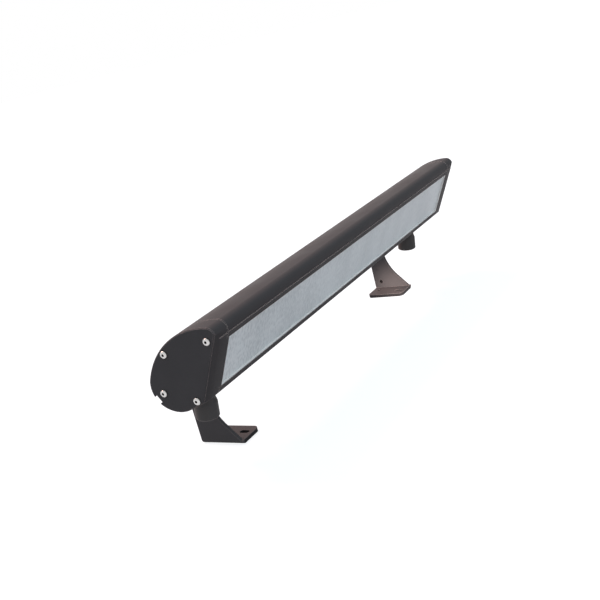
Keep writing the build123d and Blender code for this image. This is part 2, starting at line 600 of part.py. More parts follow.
for name, side in SIDES.items():
    hub_x = side * HUB_SPAN / 2
    with BuildPart() as hub:
        with BuildSketch(hub_plane(side, UNDER_RADIUS - WALL)):
            Circle(HUB_NECK_RADIUS)
        extrude(amount=HUB_LENGTH + WALL - HUB_BODY)
        with BuildSketch(hub_plane(side, OPEN_END - HUB_BODY)):
            Circle(HUB_RADIUS)
        extrude(amount=HUB_BODY)
        cone_taper = math.degrees(math.atan((HUB_RADIUS - HUB_NECK_RADIUS) / HUB_CONE))
        with BuildSketch(hub_plane(side, OPEN_END - HUB_BODY)):
            Circle(HUB_RADIUS)
        extrude(amount=-HUB_CONE, taper=cone_taper)
        rim = hub.faces().filter_by(GeomType.PLANE).sort_by(Axis((0, 0, 0), (0, 0, 1)))[0]
        chamfer(rim.edges(), length=HUB_RIM)
        # seat on the underside
        with BuildSketch(section(hub_x - HUB_RADIUS - CUT)):
            with Locations(UNDER_CENTRE):
                Circle(UNDER_RADIUS + HUB_GASKET)
        extrude(amount=2 * (HUB_RADIUS + CUT), mode=Mode.SUBTRACT)
        with BuildSketch(hub_plane(side, STEM_END)):
            Circle(HUB_STEM_RADIUS)
        extrude(amount=OPEN_END - HUB_BODY - STEM_END)
        with BuildSketch(hub_plane(side, OPEN_END)):
            Circle(HUB_THREAD_RADIUS)
        extrude(amount=-HUB_THREAD_LENGTH, mode=Mode.SUBTRACT)
        with BuildSketch(hub_plane(side, OPEN_END)):
            Circle(HUB_PASSAGE_RADIUS)
        extrude(amount=STEM_END - OPEN_END - CUT, mode=Mode.SUBTRACT)
    save(hub.part, f"conduit_hub_{name}")

    with BuildPart() as hub_gasket:
        with BuildSketch(section(hub_x - HUB_NECK_RADIUS)):
            with Locations(UNDER_CENTRE):
                Circle(UNDER_RADIUS + HUB_GASKET)
                Circle(UNDER_RADIUS, mode=Mode.SUBTRACT)
        extrude(amount=2 * HUB_NECK_RADIUS)
        with BuildSketch(hub_plane(side, 0)):
            Circle(HUB_NECK_RADIUS)
            Circle(HUB_STEM_RADIUS + THREAD_GAP, mode=Mode.SUBTRACT)
        extrude(amount=2 * UNDER_RADIUS, mode=Mode.INTERSECT)
    save(hub_gasket.part, f"hub_gasket_{name}")

# ---------------------------------------------------------------- saddles in the mounting slot
PLATE_OUTER = BRACKET_SPAN / 2
PLATE_INNER = PLATE_OUTER - PLATE
EAR_OUTER = PLATE_INNER - FRICTION_WASHER
EAR_INNER = EAR_OUTER - EAR
NECK_RADIUS = NECK_WIDTH / 2


def clamp_plane(side, place, radius):
    """Plane square to a clamp bolt, at a radius of the round back."""
    return radial(side * (EAR_OUTER - place), BACK_CENTRE, radius, SLOT_ANGLE)


for name, side in SIDES.items():
    with BuildPart() as saddle:
        # foot of the saddle, along the body
        with BuildSketch(section(side * EAR_OUTER)):
            base_middle = polar(BACK_CENTRE, BACK_RADIUS + SADDLE_BASE / 2, SLOT_ANGLE)
            with Locations(Location(base_middle + (0,), SLOT_ANGLE)):
                Rectangle(SADDLE_BASE, SADDLE_WIDTH)
            # the feet reach down around the back
            side_middle = polar(BACK_CENTRE, BACK_RADIUS, SLOT_ANGLE)
            with Locations(Location(side_middle + (0,), SLOT_ANGLE)):
                Rectangle(SADDLE_BASE, SADDLE_WIDTH)
            with Locations(BACK_CENTRE):
                Circle(BACK_RADIUS + BODY_GAP, mode=Mode.SUBTRACT)
        extrude(amount=-side * SADDLE_LENGTH)
        # ear that the tilt bolt passes through
        with BuildSketch(section(side * EAR_OUTER)):
            with BuildSketch() as ear_outline:
                with Locations(PIVOT_IN_SECTION):
                    Circle(NECK_RADIUS)
                with Locations(Location(base_middle + (0,), SLOT_ANGLE)):
                    Rectangle(SADDLE_BASE, SADDLE_WIDTH)
                make_hull()
            with Locations(BACK_CENTRE):
                Circle(BACK_RADIUS + BODY_GAP, mode=Mode.SUBTRACT)
            with Locations(PIVOT_IN_SECTION):
                Circle(PIVOT_RADIUS + RUNNING, mode=Mode.SUBTRACT)
        extrude(amount=-side * EAR)
        for place in CLAMP_PLACES:
            with BuildSketch(clamp_plane(side, place, BACK_RADIUS - CUT)):
                Circle(CLAMP_HOLE)
            extrude(amount=SADDLE_BASE + 2 * CUT, mode=Mode.SUBTRACT)
    save(saddle.part, f"saddle_{name}")

    nut_top = BACK_RADIUS - SLOT_LIP
    head_seat = BACK_RADIUS + SADDLE_BASE
    with BuildPart() as clamp_bolts:
        for place in CLAMP_PLACES:
            with BuildSketch(clamp_plane(side, place, head_seat)):
                Circle(CLAMP_HEAD)
            extrude(amount=CLAMP_HEAD_HEIGHT, taper=CLAMP_TAPER)
            with BuildSketch(clamp_plane(side, place, nut_top - SQUARE_NUT_THICK)):
                Circle(CLAMP_RADIUS)
            extrude(amount=SADDLE_BASE + SLOT_LIP + SQUARE_NUT_THICK)
            with BuildSketch(clamp_plane(side, place, head_seat + CLAMP_HEAD_HEIGHT)):
                RegularPolygon(CLAMP_SOCKET_FLATS / 2, 6, major_radius=False)
            extrude(amount=-CLAMP_SOCKET_DEPTH, mode=Mode.SUBTRACT)
    save(clamp_bolts.part, f"clamp_bolts_{name}")

    with BuildPart() as slot_nuts:
        for place in CLAMP_PLACES:
            with BuildSketch(clamp_plane(side, place, nut_top)):
                Rectangle(SQUARE_NUT, SQUARE_NUT)
                Circle(CLAMP_RADIUS + THREAD_GAP, mode=Mode.SUBTRACT)
            extrude(amount=-SQUARE_NUT_THICK)
    save(slot_nuts.part, f"slot_nuts_{name}")

# ---------------------------------------------------------------- brackets and tilt bolts
flare_end = (
    PLATE_FRONT - FLARE_RADIUS * (1 - math.cos(math.radians(FLARE_ANGLE))),
    FLARE_TOP - FLARE_RADIUS * math.sin(math.radians(FLARE_ANGLE)),
)
flare_middle = (
    PLATE_FRONT - FLARE_RADIUS * (1 - math.cos(math.radians(FLARE_ANGLE / 2))),
    FLARE_TOP - FLARE_RADIUS * math.sin(math.radians(FLARE_ANGLE / 2)),
)
toe = (flare_end[0] - (flare_end[1] - PLATE) * math.tan(math.radians(FLARE_ANGLE)), PLATE)
for name, side in SIDES.items():
    with BuildPart() as bracket:
        # upright plate: round top, straight back, neck that flares down to the foot
        with BuildSketch(across(side * PLATE_OUTER)):
            with BuildLine():
                Line((PLATE_BACK, 0), (PLATE_BACK, PIVOT_HEIGHT))
                crown = (PIVOT_Y, PIVOT_HEIGHT + NECK_RADIUS)
                ThreePointArc((PLATE_BACK, PIVOT_HEIGHT), crown, (PLATE_FRONT, PIVOT_HEIGHT))
                Line((PLATE_FRONT, PIVOT_HEIGHT), (PLATE_FRONT, FLARE_TOP))
                ThreePointArc((PLATE_FRONT, FLARE_TOP), flare_middle, flare_end)
                Polyline(flare_end, toe, (FOOT_FRONT, PLATE), (FOOT_FRONT, 0), (PLATE_BACK, 0))
            make_face()
        extrude(amount=-side * PLATE)
        # foot
        with BuildSketch(Plane.XY):
            with Locations((side * (PLATE_OUTER - FOOT_REACH / 2), PLATE_BACK - FOOT_DEPTH / 2)):
                Rectangle(FOOT_REACH, FOOT_DEPTH)
        extrude(amount=PLATE)
        bend = bracket.edges().filter_by(Axis.Y).group_by(Axis.Z)[0].sort_by(Axis.X)
        fillet(bend[0 if side < 0 else -1], radius=BEND_RADIUS)
        corners = bracket.edges().filter_by(Axis.Z).group_by(Axis.X)[-1 if side < 0 else 0]
        fillet(corners, radius=FOOT_CORNER)
        with BuildSketch(across(side * PLATE_OUTER)):
            with Locations((PIVOT_Y, PIVOT_HEIGHT)):
                Circle(PIVOT_HOLE)
        extrude(amount=-side * PLATE, mode=Mode.SUBTRACT)
        with BuildSketch(across(side * PLATE_INNER)):
            with Locations((PLATE_BACK - PLATE_HOLE_INSET, PLATE_HOLE_HEIGHT)):
                Circle(PLATE_HOLE_RADIUS)
        extrude(amount=side * PLATE_HOLE_DEPTH, mode=Mode.SUBTRACT)
        with BuildSketch(Plane.XY):
            with Locations((side * (PLATE_OUTER - FIXING_PLACE), PLATE_BACK - HOLE_INSET)):
                Circle(FIXING_RADIUS)
            with Locations((side * (PLATE_OUTER - SLOT_PLACE), FOOT_FRONT + SLOT_INSET)):
                SlotOverall(FIXING_SLOT_LENGTH, 2 * FIXING_SLOT_RADIUS, rotation=90)
        extrude(amount=PLATE, mode=Mode.SUBTRACT)
    save(bracket.part, f"bracket_{name}")

    nut_start = EAR_INNER - NUT_WASHER
    pivot_at = (PIVOT_Y, PIVOT_HEIGHT)

    with BuildPart() as pivot_bolt:
        with BuildSketch(across(side * PLATE_OUTER)):
            with Locations(pivot_at):
                RegularPolygon(HEX_FLATS / 2, 6, major_radius=False)
        extrude(amount=side * BOLT_HEAD)
        with BuildSketch(across(side * PLATE_OUTER)):
            with Locations(pivot_at):
                Circle(PIVOT_RADIUS)
        extrude(amount=-side * (PLATE_OUTER - nut_start + NUT_HEIGHT + BOLT_END))
    save(pivot_bolt.part, f"pivot_bolt_{name}")

    with BuildPart() as pivot_nut:
        with BuildSketch(across(side * nut_start)):
            with Locations(pivot_at):
                RegularPolygon(HEX_FLATS / 2, 6, major_radius=False)
                Circle(PIVOT_RADIUS + THREAD_GAP, mode=Mode.SUBTRACT)
        extrude(amount=-side * NUT_HEIGHT)
    save(pivot_nut.part, f"pivot_nut_{name}")

    with BuildPart() as pivot_washers:
        for start, thickness in ((PLATE_INNER, FRICTION_WASHER), (EAR_INNER, NUT_WASHER)):
            with BuildSketch(across(side * start)):
                with Locations(pivot_at):
                    Circle(WASHER_RADIUS)
                    Circle(PIVOT_RADIUS + THREAD_GAP, mode=Mode.SUBTRACT)
            extrude(amount=-side * thickness)
    save(pivot_washers.part, f"pivot_washers_{name}")

print("lens middle", [round(c, 2) for c in LENS_MIDDLE], "pivot", (round(PIVOT_Y, 2), PIVOT_HEIGHT))
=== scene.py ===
"""Looks of a linear wall washer light: finishes, rounded edges, fasteners, studio and camera."""

import logging
import math
from dataclasses import dataclass
from enum import Enum

import bpy
from mathutils import Matrix, Vector


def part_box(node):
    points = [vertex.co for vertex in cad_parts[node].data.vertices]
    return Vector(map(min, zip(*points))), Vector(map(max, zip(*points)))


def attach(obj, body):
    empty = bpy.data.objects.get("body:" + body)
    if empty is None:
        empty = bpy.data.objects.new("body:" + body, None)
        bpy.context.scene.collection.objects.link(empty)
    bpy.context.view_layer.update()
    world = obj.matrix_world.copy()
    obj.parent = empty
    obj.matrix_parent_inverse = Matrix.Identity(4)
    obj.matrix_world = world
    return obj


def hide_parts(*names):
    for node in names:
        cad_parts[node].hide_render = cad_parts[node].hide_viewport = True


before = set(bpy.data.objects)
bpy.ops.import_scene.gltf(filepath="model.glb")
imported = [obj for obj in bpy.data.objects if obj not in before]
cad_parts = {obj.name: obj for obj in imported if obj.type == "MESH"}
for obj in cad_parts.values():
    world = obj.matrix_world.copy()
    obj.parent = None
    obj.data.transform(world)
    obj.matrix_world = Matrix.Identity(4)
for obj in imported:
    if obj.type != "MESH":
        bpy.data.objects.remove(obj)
LOG = logging.getLogger("wall_washer")
MM = 0.001
Triple = tuple[float, float, float]
Colour = Triple


class Side(Enum):
    """The two ends of the light, by the sign of X."""

    LEFT = -1
    RIGHT = 1

    @property
    def tail(self) -> str:
        """The end of the names of the nodes on this side."""
        return self.name.lower()


class Slot(Enum):
    """Material slots of the record."""

    BODY = "bronze_body"
    BRACKET = "bronze_bracket"
    HUB = "bronze_hub"
    SCREWS = "stainless_screws"
    PIVOT = "stainless_pivot"
    LENS = "lens"
    LENS_SEAL = "lens_seal"
    BLACK_SEAL = "black_seal"
    REFLECTOR = "reflector_sheet"
    GEAR = "gear"
    BALLAST = "ballast_case"
    WHITE = "white_plastic"
    LAMP_GLASS = "lamp_glass"
    LAMP_METAL = "lamp_metal"


# ---------------------------------------------------------------- shared values
# The lens leans by this angle from upright, and this way leads straight back from its face.
TILT = math.radians(27.5)
DEPTH_DIR = Vector((0, math.cos(TILT), math.sin(TILT)))
# Corners closer than this are one, and faces that meet at less than this angle are one.
MERGE_DISTANCE = 0.002 * MM
FLAT_ANGLE = math.radians(0.4)
# Edges sharper than the first are rounded, and those sharper than the second are shaded as edges.
SHARP_ANGLE = math.radians(38)
SMOOTH_ANGLE = math.radians(35)
# Most of a noise lies between these values.
NOISE_SPAN = (0.3, 0.7)
NOISE_MIDDLE = 0.5
# The cut edges of the feet, which get painted shade, lie below this height, and this far or more inside the
# plates' outer faces.
FOOT_RIM = 3.8 * MM


# ---------------------------------------------------------------- bench work
def hold(piece: bpy.types.Object) -> bpy.types.Object:
    """Makes one piece the only selected object and the active one.

    Args:
        piece: The object to work on.

    Returns:
        The same object.
    """
    bpy.ops.object.select_all(action="DESELECT")
    piece.select_set(True)
    bpy.context.view_layer.objects.active = piece
    return piece


def finish_modifier(piece: bpy.types.Object, kind: str, **settings: object) -> None:
    """Adds a modifier with its settings and applies it.

    Args:
        piece: The object that gets the modifier.
        kind: The modifier's type.
        settings: Values for the modifier's properties.
    """
    hold(piece)
    modifier = piece.modifiers.new(kind.lower(), kind)
    for key, value in settings.items():
        setattr(modifier, key, value)
    bpy.ops.object.modifier_apply(modifier=modifier.name)


def settle(piece: bpy.types.Object) -> bpy.types.Object:
    """Moves an object's place and turn into its mesh.

    Args:
        piece: The object to settle.

    Returns:
        The same object, at the origin.
    """
    hold(piece)
    bpy.ops.object.transform_apply(location=True, rotation=True, scale=True)
    return piece


def smooth(piece: bpy.types.Object) -> None:
    """Shades a piece smooth, but for its sharp edges."""
    hold(piece)
    bpy.ops.object.shade_smooth_by_angle(angle=SMOOTH_ANGLE)


def join(pieces: list[bpy.types.Object], name: str) -> bpy.types.Object:
    """Joins several objects into one.

    Args:
        pieces: The objects, all settled.
        name: The name of the result.

    Returns:
        The joined object.
    """
    hold(pieces[0])
    for piece in pieces[1:]:
        piece.select_set(True)
    bpy.ops.object.join()
    pieces[0].name = pieces[0].data.name = name
    return pieces[0]


def copy_of(node: str, name: str) -> bpy.types.Object:
    """Copies a CAD node's mesh, with its corners merged and its flat faces made whole.

    Args:
        node: The CAD node.
        name: The name of the new piece.

    Returns:
        The new piece.
    """
    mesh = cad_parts[node].data.copy()
    mesh.name = name
    mesh.materials.clear()
    piece = bpy.data.objects.new(name, mesh)
    bpy.context.scene.collection.objects.link(piece)
    hold(piece)
    bpy.ops.mesh.customdata_custom_splitnormals_clear()
    bpy.ops.object.mode_set(mode="EDIT")
    bpy.ops.mesh.select_all(action="SELECT")
    bpy.ops.mesh.remove_doubles(threshold=MERGE_DISTANCE)
    bpy.ops.mesh.dissolve_limited(angle_limit=FLAT_ANGLE)
    bpy.ops.object.mode_set(mode="OBJECT")
    return piece


def solid_boxes(node: str) -> list[tuple[Vector, Vector]]:
    """Finds the box of each separate solid in a CAD node.

    Args:
        node: The CAD node.

    Returns:
        The lowest and highest corner of each solid.
    """
    piece = copy_of(node, node + "_parts")
    bpy.ops.object.mode_set(mode="EDIT")
    bpy.ops.mesh.separate(type="LOOSE")
    bpy.ops.object.mode_set(mode="OBJECT")
    boxes = []
    for part in list(bpy.context.selected_objects):
        corners = [Vector(corner) for corner in part.bound_box]
        low = Vector(min(c[i] for c in corners) for i in range(3))
        high = Vector(max(c[i] for c in corners) for i in range(3))
        boxes.append((low, high))
        bpy.data.objects.remove(part)
    return boxes


# ---------------------------------------------------------------- finishes
class Board:
    """A material's node tree, with short ways to add and join its nodes."""

    def __init__(self, name: str) -> None:
        """Starts a material with one Principled shader.

        Args:
            name: The material's name.
        """
        self.material = bpy.data.materials.new(name)
        self.material.use_nodes = True
        self.nodes = self.material.node_tree.nodes
        self.shader = self.nodes["Principled BSDF"]

    def add(self, kind: str, **settings: object) -> bpy.types.Node:
        """Adds a node.

        Args:
            kind: The node's type.
            settings: Properties of the node, or values for inputs by name with _ for a space.

        Returns:
            The new node.
        """
        node = self.nodes.new(kind)
        for key, value in settings.items():
            if hasattr(node, key):
                setattr(node, key, value)
            else:
                node.inputs[key.replace("_", " ")].default_value = value
        return node

    def join(self, out: bpy.types.NodeSocket, into: bpy.types.NodeSocket) -> None:
        """Links an output to an input."""
        self.material.node_tree.links.new(out, into)

    def set(self, **values: object) -> None:
        """Sets constants on the shader's own sockets, by name with _ for a space."""
        for key, value in values.items():
            self.shader.inputs[key.replace("_", " ")].default_value = value

    def place(self, turn: Triple = (0, 0, 0), stretch: Triple = (1, 1, 1)) -> bpy.types.NodeSocket:
        """Object coordinates, turned and stretched.

        Args:
            turn: Rotation in radians about X, Y and Z.
            stretch: Scale along X, Y and Z.

        Returns:
            The vector output.
        """
        place = self.add("ShaderNodeTexCoord")
        mapping = self.add("ShaderNodeMapping", Rotation=turn, Scale=stretch)
        self.join(place.outputs["Object"], mapping.inputs["Vector"])
        return mapping.outputs["Vector"]

    def along(self, axis: str) -> bpy.types.NodeSocket:
        """The object coordinate along one axis.

        Args:
            axis: X, Y or Z.

        Returns:
            The coordinate, in metres.
        """
        parts = self.add("ShaderNodeSeparateXYZ")
        self.join(self.place(), parts.inputs["Vector"])
        return parts.outputs[axis]

    def noise(self, place: bpy.types.NodeSocket, size: float, detail: float) -> bpy.types.NodeSocket:
        """Noise with spots of a given size.

        Args:
            place: The vector that it reads.
            size: The spots' size in metres.
            detail: Finer layers in it.

        Returns:
            The noise value.
        """
        noise = self.add("ShaderNodeTexNoise", Scale=1 / size, Detail=detail)
        self.join(place, noise.inputs["Vector"])
        return noise.outputs["Fac"]

    def blend(self, value: bpy.types.NodeSocket, low: Colour, high: Colour,
              span: tuple[float, float] = NOISE_SPAN) -> bpy.types.NodeSocket:
        """A colour that goes from one to another as a value rises.

        Args:
            value: The value that chooses.
            low: The colour at the low end.
            high: The colour at the high end.
            span: The values at which the two colours are reached.

        Returns:
            The colour output.
        """
        ramp = self.add("ShaderNodeValToRGB")
        ramp.color_ramp.elements[0].position, ramp.color_ramp.elements[1].position = span
        ramp.color_ramp.elements[0].color = (*low, 1)
        ramp.color_ramp.elements[1].color = (*high, 1)
        self.join(value, ramp.inputs["Fac"])
        return ramp.outputs["Color"]

    def ranged(self, value: bpy.types.NodeSocket, start: float, full: float,
               low: float = 0.0, high: float = 1.0) -> bpy.types.NodeSocket:
        """Maps one range of a value to another and holds it at the ends.

        Args:
            value: The value.
            start: Where the result is low.
            full: Where the result is high.
            low: The result at the start.
            high: The result where it is full.

        Returns:
            The mapped value.
        """
        mapped = self.add("ShaderNodeMapRange", From_Min=start, From_Max=full, To_Min=low, To_Max=high)
        self.join(value, mapped.inputs["Value"])
        return mapped.outputs["Result"]

    def span(self, noise: bpy.types.NodeSocket, low: float, high: float) -> bpy.types.NodeSocket:
        """Maps a noise value to the range from low to high."""
        return self.ranged(noise, *NOISE_SPAN, low, high)

    def work_out(self, operation: str, *values: bpy.types.NodeSocket | float) -> bpy.types.NodeSocket:
        """Works out one value from others.

        Args:
            operation: The Math node's operation.
            values: The outputs or numbers that go into it, in order.

        Returns:
            The result.
        """
        node = self.add("ShaderNodeMath", operation=operation)
        for value, socket in zip(values, node.inputs):
            if isinstance(value, bpy.types.NodeSocket):
                self.join(value, socket)
            else:
                socket.default_value = value
        return node.outputs[0]

    def bump(self, value: bpy.types.NodeSocket, height: float, strength: float) -> bpy.types.NodeSocket:
        """A bump from a height value.

        Args:
            value: The height, from 0 to 1.
            height: The relief's height in metres.
            strength: How much of it shows.

        Returns:
            The normal output.
        """
        bump = self.add("ShaderNodeBump", Distance=height, Strength=strength)
        self.join(value, bump.inputs["Height"])
        return bump.outputs["Normal"]

    def fade(self, noise: bpy.types.NodeSocket, span: tuple[float, float],
             least: float) -> bpy.types.NodeSocket:
        """Calms a noise value along X.

        Args:
            noise: The noise value.
            span: The X at which it is whole and the X at which it is calmest, in metres.
            least: The share of it that is left there.

        Returns:
            The calmed value.
        """
        calm = self.add("ShaderNodeMix", data_type="FLOAT")
        self.join(self.ranged(self.along("X"), *span, 1.0, least), calm.inputs["Factor"])
        calm.inputs["A"].default_value = NOISE_MIDDLE
        self.join(noise, calm.inputs["B"])
        return calm.outputs["Result"]

    def edges(self, radius: float, lean: tuple[float, float] = (0.99, 0.85)) -> bpy.types.NodeSocket:
        """Finds edges, as where a rounded normal leans away from the real one.

        Args:
            radius: How far from an edge it reaches, in metres.
            lean: The cosines of the lean at which an edge begins and is full.

        Returns:
            A value from 0 on a face to 1 on an edge.
        """
        rounded = self.add("ShaderNodeBevel", samples=4, Radius=radius)
        real = self.add("ShaderNodeNewGeometry")
        cosine = self.add("ShaderNodeVectorMath", operation="DOT_PRODUCT")
        self.join(rounded.outputs["Normal"], cosine.inputs[0])
        self.join(real.outputs["Normal"], cosine.inputs[1])
        return self.ranged(cosine.outputs["Value"], *lean)

    def hollows(self, reach: float, openness: tuple[float, float]) -> bpy.types.NodeSocket:
        """Finds places that are closed in, such as sockets and holes.

        Args:
            reach: How far it looks for walls, in metres.
            openness: The openness at which a hollow begins and is full.

        Returns:
            A value from 0 in the open to 1 in a hollow.
        """
        air = self.add("ShaderNodeAmbientOcclusion", samples=8, Distance=reach)
        return self.ranged(air.outputs["AO"], *openness)

    def low_rim(self, height: float, inside: float) -> bpy.types.NodeSocket:
        """Finds what lies low down and nearer to the middle than a given X.

        Args:
            height: The height below which it lies, in metres.
            inside: The distance from the middle along X within which it lies, in metres.

        Returns:
            A value of 1 there and 0 elsewhere.
        """
        near = self.work_out("LESS_THAN", self.work_out("ABSOLUTE", self.along("X")), inside)
        low = self.work_out("LESS_THAN", self.along("Z"), height)
        return self.work_out("MULTIPLY", near, low)

    def tint(self, value: bpy.types.NodeSocket, base: bpy.types.NodeSocket,
             over: Colour) -> bpy.types.NodeSocket:
        """Lays a second colour over a first where a value is high.

        Args:
            value: The value, from 0 to 1.
            base: The first colour.
            over: The second colour.

        Returns:
            The colour output.
        """
        mix = self.add("ShaderNodeMix", data_type="RGBA")
        self.join(value, mix.inputs["Factor"])
        self.join(base, mix.inputs["A"])
        mix.inputs["B"].default_value = (*over, 1)
        return mix.outputs["Result"]

    def coat(self, colour: bpy.types.NodeSocket, roughness: bpy.types.NodeSocket,
             normal: bpy.types.NodeSocket, **constants: object) -> bpy.types.Material:
        """Joins a finish to the shader.

        Args:
            colour: The base colour.
            roughness: The roughness.
            normal: The normal.
            constants: Values for the shader's other sockets, as in set.

        Returns:
            The finished material.
        """
        for socket, output in (("Base Color", colour), ("Roughness", roughness), ("Normal", normal)):
            self.join(output, self.shader.inputs[socket])
        self.set(**constants)
        return self.material


@dataclass(frozen=True)
class BronzePaint:
    """Dark bronze powder paint: a soft gloss over a fine orange peel, with a painted highlight along the
    edges and painted shade in its hollows.

    A rim, as a height and a distance from the middle, lays painted shade on the cut edges of the feet.
    """

    name: str
    colour: Colour = (0.071, 0.063, 0.062)
    shade: Colour = (0.064, 0.057, 0.056)
    edge_highlight: Colour = (0.6, 0.47, 0.42)
    hollow_shade: Colour = (0.012, 0.010, 0.010)
    gloss: tuple[float, float] = (0.42, 0.55)
    shine: float = 0.035
    cloud: float = 28 * MM
    peel: float = 0.9 * MM
    relief: float = 0.02 * MM
    relief_share: float = 0.25
    edge: float = 0.7 * MM
    hollow: float = 8 * MM
    openness: tuple[float, float] = (0.5, 0.35)
    rim: tuple[float, float] | None = None
    rim_shade: Colour = (0.03, 0.027, 0.027)

    def make(self) -> bpy.types.Material:
        """Builds the material.

        Returns:
            The material.
        """
        board = Board(self.name)
        place = board.place()
        cloud = board.noise(place, self.cloud, 4)
        peel = board.noise(place, self.peel, 2)
        # Painted highlight: a pale colour laid over every edge, convex or concave, where light would catch
        # it.
        colour = board.tint(board.edges(self.edge), board.blend(cloud, self.shade, self.colour), self.edge_highlight)
        # Painted shade: a dark colour laid in sockets, holes and other hollows.
        colour = board.tint(board.hollows(self.hollow, self.openness), colour, self.hollow_shade)
        if self.rim:
            # Painted shade on the cut edges of the feet.
            colour = board.tint(board.low_rim(*self.rim), colour, self.rim_shade)
        relief = board.bump(peel, self.relief, self.relief_share)
        return board.coat(colour, board.span(cloud, *self.gloss), relief, Specular_IOR_Level=self.shine)


@dataclass(frozen=True)
class BrushedStainless:
    """Stainless steel turned on a lathe: bright, with fine brush marks and painted shade in its sockets and
    hollows.
    """

    name: str
    colour: Colour = (0.66, 0.65, 0.63)
    hollow_shade: Colour = (0.008, 0.008, 0.008)
    gloss: tuple[float, float] = (0.24, 0.4)
    metallic: float = 0.9
    marks: float = 0.25 * MM
    marks_tone: float = 0.82
    relief: float = 0.01 * MM
    relief_share: float = 0.2
    hollow: float = 2.2 * MM
    openness: tuple[float, float] = (0.85, 0.5)

    def make(self) -> bpy.types.Material:
        """Builds the material.

        Returns:
            The material.
        """
        board = Board(self.name)
        marks = board.noise(board.place(), self.marks, 3)
        tone = tuple(self.marks_tone * c for c in self.colour)
        # Painted shade: a dark colour laid in the sockets and hollows.
        colour = board.tint(
            board.hollows(self.hollow, self.openness), board.blend(marks, tone, self.colour), self.hollow_shade
        )
        relief = board.bump(marks, self.relief, self.relief_share)
        return board.coat(colour, board.span(marks, *self.gloss), relief, Metallic=self.metallic)


@dataclass(frozen=True)
class HammeredGlass:
    """Thick glass with a long-grained hammered face that spreads the light, calmer towards the right."""

    name: str
    colour: Colour = (0.77, 0.77, 0.745)
    light: Colour = (1.0, 0.995, 0.96)
    tones: tuple[float, float] = (0.2, 0.72)
    gloss: tuple[float, float] = (0.4, 0.55)
    shine: float = 0.3
    cover: float = 0.95
    grain: float = 2.4 * MM
    stretch: float = 8.0
    relief: float = 0.4 * MM
    relief_share: float = 0.4
    cloud: float = 40 * MM
    cloud_share: float = 0.3
    calming: tuple[float, float] = (-240 * MM, 60 * MM)
    calm_share: float = 0.3

    def make(self) -> bpy.types.Material:
        """Builds the material.

        Returns:
            The material.
        """
        board = Board(self.name)
        place = board.place(turn=(-TILT, 0, 0), stretch=(1, 1, 1 / self.stretch))
        grain = board.fade(board.noise(place, self.grain, 3), self.calming, self.calm_share)
        cloud = board.noise(place, self.cloud, 2)
        mixed = board.work_out(
            "ADD", board.span(grain, 0.0, 1 - self.cloud_share), board.span(cloud, 0.0, self.cloud_share)
        )
        return board.coat(
            board.blend(mixed, self.colour, self.light, self.tones),
            board.span(grain, *self.gloss),
            board.bump(grain, self.relief, self.relief_share),
            Alpha=self.cover, Specular_IOR_Level=self.shine,
        )


@dataclass(frozen=True)
class Moulded:
    """A plain material, moulded, pressed or drawn: rubber, plastic, sheet or glass tube."""

    name: str
    colour: Colour
    gloss: tuple[float, float]
    metallic: float = 0.0
    grain: float = 1.5 * MM
    grain_tone: float = 0.9
    relief: float = 0.02 * MM
    relief_share: float = 0.2

    def make(self) -> bpy.types.Material:
        """Builds the material.

        Returns:
            The material.
        """
        board = Board(self.name)
        grain = board.noise(board.place(), self.grain, 3)
        tone = tuple(self.grain_tone * c for c in self.colour)
        colour = board.blend(grain, tone, self.colour)
        relief = board.bump(grain, self.relief, self.relief_share)
        return board.coat(colour, board.span(grain, *self.gloss), relief, Metallic=self.metallic)


def mix_finishes() -> dict[Slot, bpy.types.Material]:
    """Makes one material for each slot of the record.

    Returns:
        The materials by slot.
    """
    plate_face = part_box("bracket_right")[1][0]
    finishes = {
        Slot.BODY: BronzePaint("bronze_body"),
        # The bracket's painted edge highlight is fainter, and painted shade darkens the cut edges of its
        # feet.
        Slot.BRACKET: BronzePaint(
            "bronze_bracket", colour=(0.087, 0.077, 0.075), shade=(0.078, 0.069, 0.067),
            edge_highlight=(0.2, 0.16, 0.15), rim=(FOOT_RIM, plate_face - FOOT_RIM),
        ),
        # The hub's colour is lighter than the body's bronze, to offset the shade that falls on it under the
        # body: painted light.
        Slot.HUB: BronzePaint("bronze_hub", colour=(0.116, 0.103, 0.096), shade=(0.102, 0.091, 0.084)),
        Slot.SCREWS: BrushedStainless("stainless_screws"),
        Slot.PIVOT: BrushedStainless("stainless_pivot", colour=(0.58, 0.57, 0.55)),
        Slot.LENS: HammeredGlass("hammered_glass"),
        Slot.LENS_SEAL: Moulded("lens_seal", (1.0, 0.96, 0.91), (0.3, 0.45)),
        Slot.BLACK_SEAL: Moulded("black_seal", (0.018, 0.018, 0.018), (0.6, 0.8)),
        Slot.REFLECTOR: Moulded("reflector_sheet", (0.86, 0.87, 0.88), (0.2, 0.32), metallic=0.9),
        Slot.GEAR: Moulded("gear_tray", (0.62, 0.62, 0.61), (0.35, 0.5), metallic=0.8),
        Slot.BALLAST: Moulded("ballast_case", (0.74, 0.74, 0.71), (0.4, 0.55)),
        Slot.WHITE: Moulded("white_plastic", (0.8, 0.8, 0.78), (0.35, 0.5)),
        Slot.LAMP_GLASS: Moulded("lamp_glass", (0.88, 0.88, 0.86), (0.15, 0.25)),
        Slot.LAMP_METAL: Moulded("lamp_metal", (0.72, 0.72, 0.71), (0.3, 0.42), metallic=0.9),
    }
    return {slot: finish.make() for slot, finish in finishes.items()}


